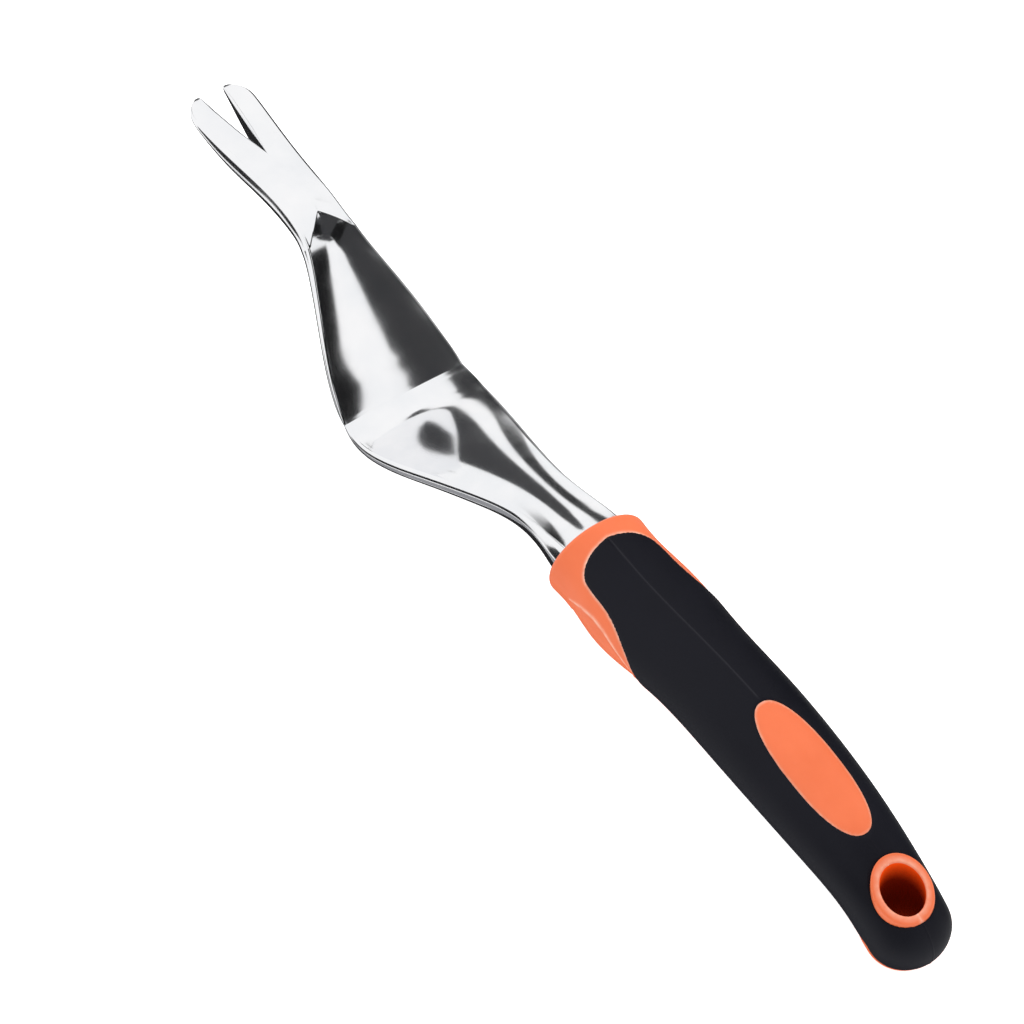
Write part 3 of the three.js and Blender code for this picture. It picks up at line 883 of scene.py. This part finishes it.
def bumps(nodes, links, shader, layers):
    """Chains bump nodes, each given as (height, distance in mm, strength)."""
    normal = None
    for height, distance, strength in layers:
        bump = nodes.new("ShaderNodeBump")
        bump.inputs["Distance"].default_value = distance * MM
        bump.inputs["Strength"].default_value = strength
        links.new(height, bump.inputs["Height"])
        if normal is not None:
            links.new(normal, bump.inputs["Normal"])
        normal = bump.outputs["Normal"]
    links.new(normal, shader.inputs["Normal"])


def cast_aluminium():
    material, nodes, links, shader = new_material("polished cast aluminium")
    shader.inputs["Metallic"].default_value = 1.0
    tone = ranged(nodes, links, object_noise(nodes, links, 60, 3), 0, 1, 0.35, 0.65)
    colour = colour_between(nodes, links, tone, *ALUMINIUM_TONES)
    links.new(colour, shader.inputs["Base Color"])
    lines = object_noise(nodes, links, 900, 3, (0.06, 1, 1))
    haze = object_noise(nodes, links, 90, 5)
    links.new(ranged(nodes, links, haze, 0.07, 0.11, 0.3, 0.7), shader.inputs["Roughness"])
    bumps(nodes, links, shader, [(haze, 0.03, 0.08), (lines, 0.006, 0.08)])
    return material


def orange_plastic():
    material, nodes, links, shader = new_material("orange plastic")
    tone = object_noise(nodes, links, 70, 4)
    colour = colour_between(nodes, links, ranged(nodes, links, tone, 0, 1, 0.3, 0.7), *ORANGE_TONES)
    # Painted highlight: the edges and the crease turn paler, broken up by a fine speckle.
    speckled_painted_highlight = nodes.new("ShaderNodeMath")
    speckled_painted_highlight.operation = "MULTIPLY"
    links.new(marked(nodes, "painted_edge_highlight"), speckled_painted_highlight.inputs[0])
    speckle = object_noise(nodes, links, 450, 3)
    links.new(ranged(nodes, links, speckle, 0.45, 1.0, 0.35, 0.65), speckled_painted_highlight.inputs[1])
    colour = tinted(nodes, links, colour, speckled_painted_highlight.outputs["Value"], PAINTED_HIGHLIGHT_ORANGE)
    # Painted shade: the hole's wall darkens with depth and loses its gloss.
    hole_painted_shade = marked(nodes, "hole_painted_shade")
    colour = tinted(nodes, links, colour, ranged(nodes, links, hole_painted_shade, 0, 1, 0, 0.25), HOLE_PAINTED_SHADE_ORANGE)
    colour = tinted(nodes, links, colour, ranged(nodes, links, hole_painted_shade, 0, 1, 0.3, 1), HOLE_PAINTED_DEEPEST_SHADE)
    links.new(ranged(nodes, links, hole_painted_shade, 0.4, 0.0, 0.0, 0.2), shader.inputs["Specular IOR Level"])
    links.new(colour, shader.inputs["Base Color"])
    fine = object_noise(nodes, links, 1400, 2)
    links.new(ranged(nodes, links, tone, 0.36, 0.46, 0.3, 0.7), shader.inputs["Roughness"])
    shader.inputs["IOR"].default_value = 1.48
    shader.inputs["Subsurface Weight"].default_value = 0.06
    shader.inputs["Subsurface Radius"].default_value = (0.002, 0.0007, 0.0003)
    shader.inputs["Subsurface Scale"].default_value = 1.0
    bumps(nodes, links, shader, [(fine, 0.02, 0.18)])
    return material


def black_rubber():
    material, nodes, links, shader = new_material("black soft grip")
    tone = object_noise(nodes, links, 45, 5)
    colour = colour_between(nodes, links, ranged(nodes, links, tone, 0, 1, 0.3, 0.7), *RUBBER_TONES)
    # Painted sheen: the seam's ridge is coloured lighter than the rest of the grip.
    colour = tinted(nodes, links, colour, marked(nodes, "seam"), SEAM_PAINTED_SHEEN)
    links.new(colour, shader.inputs["Base Color"])
    fine = object_noise(nodes, links, 1800, 2)
    links.new(ranged(nodes, links, tone, 0.50, 0.62, 0.3, 0.7), shader.inputs["Roughness"])
    shader.inputs["IOR"].default_value = 1.5
    shader.inputs["Specular IOR Level"].default_value = 0.17
    shader.inputs["Specular Tint"].default_value = (0.92, 0.94, 1.0, 1)
    bumps(nodes, links, shader, [(fine, 0.03, 0.25)])
    return material


# ---------------------------------------------------------------- camera, floor and light

CAMERA_BACK = Vector((-0.5448, 0.3620, 0.7564))     # from the aim point to the camera
CAMERA_AIM = cad_middle + Vector((0.0056, 0.0065, -0.0047))
CAMERA_DISTANCE = 0.957
CAMERA_FOCAL = 130.9
CAMERA_ROLL = math.radians(-1.85)
FLOOR_REACH = 3000.0                                # mm from the origin
FLOOR_GLOW = 0.7                                    # light of its own, so that it stays white


def make_camera():
    data = bpy.data.cameras.new("camera")
    data.lens = CAMERA_FOCAL
    data.sensor_width = 36
    data.clip_start = 0.01
    data.clip_end = 50
    camera = bpy.data.objects.new("camera", data)
    bpy.context.scene.collection.objects.link(camera)
    camera.location = CAMERA_AIM + CAMERA_BACK.normalized() * CAMERA_DISTANCE
    look = (-CAMERA_BACK).to_track_quat("-Z", "Y")
    camera.rotation_mode = "QUATERNION"
    camera.rotation_quaternion = look @ Quaternion((0, 0, 1), CAMERA_ROLL)
    bpy.context.scene.camera = camera


def make_floor():
    reach, z = FLOOR_REACH, cad_low.z / MM
    corners = [(-reach, -reach, z), (reach, -reach, z), (reach, reach, z), (-reach, reach, z)]
    floor = mesh_object("floor", corners, [(0, 1, 2, 3)], closed=False)
    material, nodes, links, shader = new_material("floor")
    shader.inputs["Base Color"].default_value = (0.88, 0.88, 0.88, 1)
    shader.inputs["Roughness"].default_value = 0.7
    shader.inputs["Specular IOR Level"].default_value = 0.1
    shader.inputs["Emission Color"].default_value = (1.0, 1.0, 1.0, 1)
    shader.inputs["Emission Strength"].default_value = FLOOR_GLOW
    floor.data.materials.append(material)
    floor.visible_glossy = False


STUDIO_DISTANCE = 3.0                               # m from the middle of the part to the first card
CARD_SPACING = 0.02                                 # how much nearer each next card is, as a share

# Dark cards that only the gloss sees: how bright each is and its outline, as corners of (azimuth from
# +X towards +Y, elevation) in degrees. Later cards stand in front of earlier ones. The outlines were
# drawn so that, from the photo's angle, this head mirrors the dark shapes that the photo shows.
# They make all of its dark pattern: without them it is almost white.
CARDS = {
    "front_right": (0.045, [(-156, 18), (-153, 32), (-149.5, 38), (-147, 50), (-143, 58), (-122, 58),
                            (-112, 50), (-115, 42), (-128, 30), (-138, 22), (-141, 15)]),
    "front_right_low": (0.01, [(-149, 44), (-147, 50), (-143, 58), (-122, 58), (-115, 50), (-120, 44)]),
    "front_left": (0.012, [(-171.5, 32), (-169, 38), (-166, 45), (-162, 54), (-159, 62), (-160, 77),
                           (-185, 82), (-215, 82), (-215, 10), (-172, 10)]),
    "arch": (0.05, [(-52, 60), (-52, 65), (-57, 71), (-66, 76), (-98, 80), (-135, 79), (-160, 77),
                    (-159, 66), (-156, 58), (-153, 54), (-147, 52), (-143, 58), (-122, 58), (-115, 50),
                    (-84, 60), (-74, 58.5), (-68, 60)]),
    "back_right": (0.06, [(-26, 4), (-12, 4), (-14, 18), (-17, 27), (-22, 38), (-25, 40), (-26.5, 38),
                          (-25, 28), (-26.5, 18)]),
    "back_edge": (0.035, [(-34.5, 4), (-29.8, 4), (-29.8, 20), (-35, 33), (-43, 43), (-50, 46), (-51, 43),
                          (-42, 31), (-35, 20)]),
    "back_small": (0.02, [(-9, 30), (-2, 29), (4, 40), (0, 55), (-6, 50), (-9, 42)]),
    "left_band": (0.02, [(42, -35), (66, -32), (66, -16), (50, -17)]),
    "left_low": (0.3, [(34, -60), (34, -41), (43, -37.5), (62, -39), (66, -60)]),
    "left_top": (0.02, [(80, 10), (80, 40), (150, 40), (150, 10)]),
    "below_front": (0.02, [(-60, -62), (-60, -30), (10, -30), (33, -40), (34, -62)]),
    "right_edge": (0.03, [(-112, -25), (-112, 34), (-60, 34), (-42, 36), (-42, -25)]),
    "below": (0.02, [(-180, -62), (-90, -62), (0, -62), (90, -62)]),
}
CARD_CORNER_STEP = 6


def direction(azimuth, elevation):
    a, e = math.radians(azimuth), math.radians(elevation)
    return Vector((math.cos(a) * math.cos(e), math.sin(a) * math.cos(e), math.sin(e)))


def card_material(name, brightness):
    material, nodes, links, shader = new_material(name)
    shader.inputs["Base Color"].default_value = (0.0, 0.0, 0.0, 1)
    shader.inputs["Specular IOR Level"].default_value = 0.0
    shader.inputs["Roughness"].default_value = 1.0
    shader.inputs["Emission Color"].default_value = (1.0, 1.0, 1.05, 1)
    shader.inputs["Emission Strength"].default_value = brightness
    return material


def only_gloss(piece):
    piece.visible_camera = False
    piece.visible_diffuse = False
    piece.visible_shadow = False
    piece.visible_transmission = False


def card_outline(corners):
    """The corners with points added between them, so that the sides keep to straight azimuths and
    elevations."""
    outline = []
    for (azimuth, elevation), (next_azimuth, next_elevation) in zip(corners, corners[1:] + corners[:1]):
        turn = (next_azimuth - azimuth + 180) % 360 - 180
        rise = next_elevation - elevation
        steps = max(1, round(max(abs(turn), abs(rise)) / CARD_CORNER_STEP))
        for i in range(steps):
            outline.append((azimuth + turn * i / steps, elevation + rise * i / steps))
    return outline


def make_cards():
    for index, (name, (brightness, corners)) in enumerate(CARDS.items()):
        distance = STUDIO_DISTANCE * (1 - CARD_SPACING * index)
        points = [(cad_middle + direction(*corner) * distance) / MM for corner in card_outline(corners)]
        card = mesh_object(f"card_{name}", [tuple(point) for point in points], [tuple(range(len(points)))],
                           closed=False)
        card.data.materials.append(card_material(f"card {name}", brightness))
        only_gloss(card)


def make_world():
    world = bpy.data.worlds.new("studio")
    world.use_nodes = True
    shader = world.node_tree.nodes["Background"]
    shader.inputs["Color"].default_value = (1, 1, 1, 1)
    shader.inputs["Strength"].default_value = 1.0
    bpy.context.scene.world = world


def softbox(name, azimuth, elevation, distance, width, height, power):
    data = bpy.data.lights.new(name, "AREA")
    data.shape = "RECTANGLE"
    data.size = width
    data.size_y = height
    data.energy = power
    lamp = bpy.data.objects.new(name, data)
    bpy.context.scene.collection.objects.link(lamp)
    towards = direction(azimuth, elevation)
    lamp.location = cad_middle + towards * distance
    lamp.rotation_mode = "QUATERNION"
    lamp.rotation_quaternion = towards.to_track_quat("Z", "Y")
    lamp.visible_glossy = False


def make_lights():
    softbox("overhead", azimuth=-60, elevation=65, distance=1.2, width=0.8, height=0.8, power=9)


# ---------------------------------------------------------------- the scene

make_camera()
make_floor()
make_world()
make_cards()
make_lights()
bpy.context.scene.view_settings.view_transform = "Standard"

head = finish_surface(cast_head(), cast_aluminium())
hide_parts("weeder_head")
core = finish_surface(handle_core(), orange_plastic())
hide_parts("handle_core")
grip = finish_surface(soft_grip(), black_rubber())
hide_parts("soft_grip")
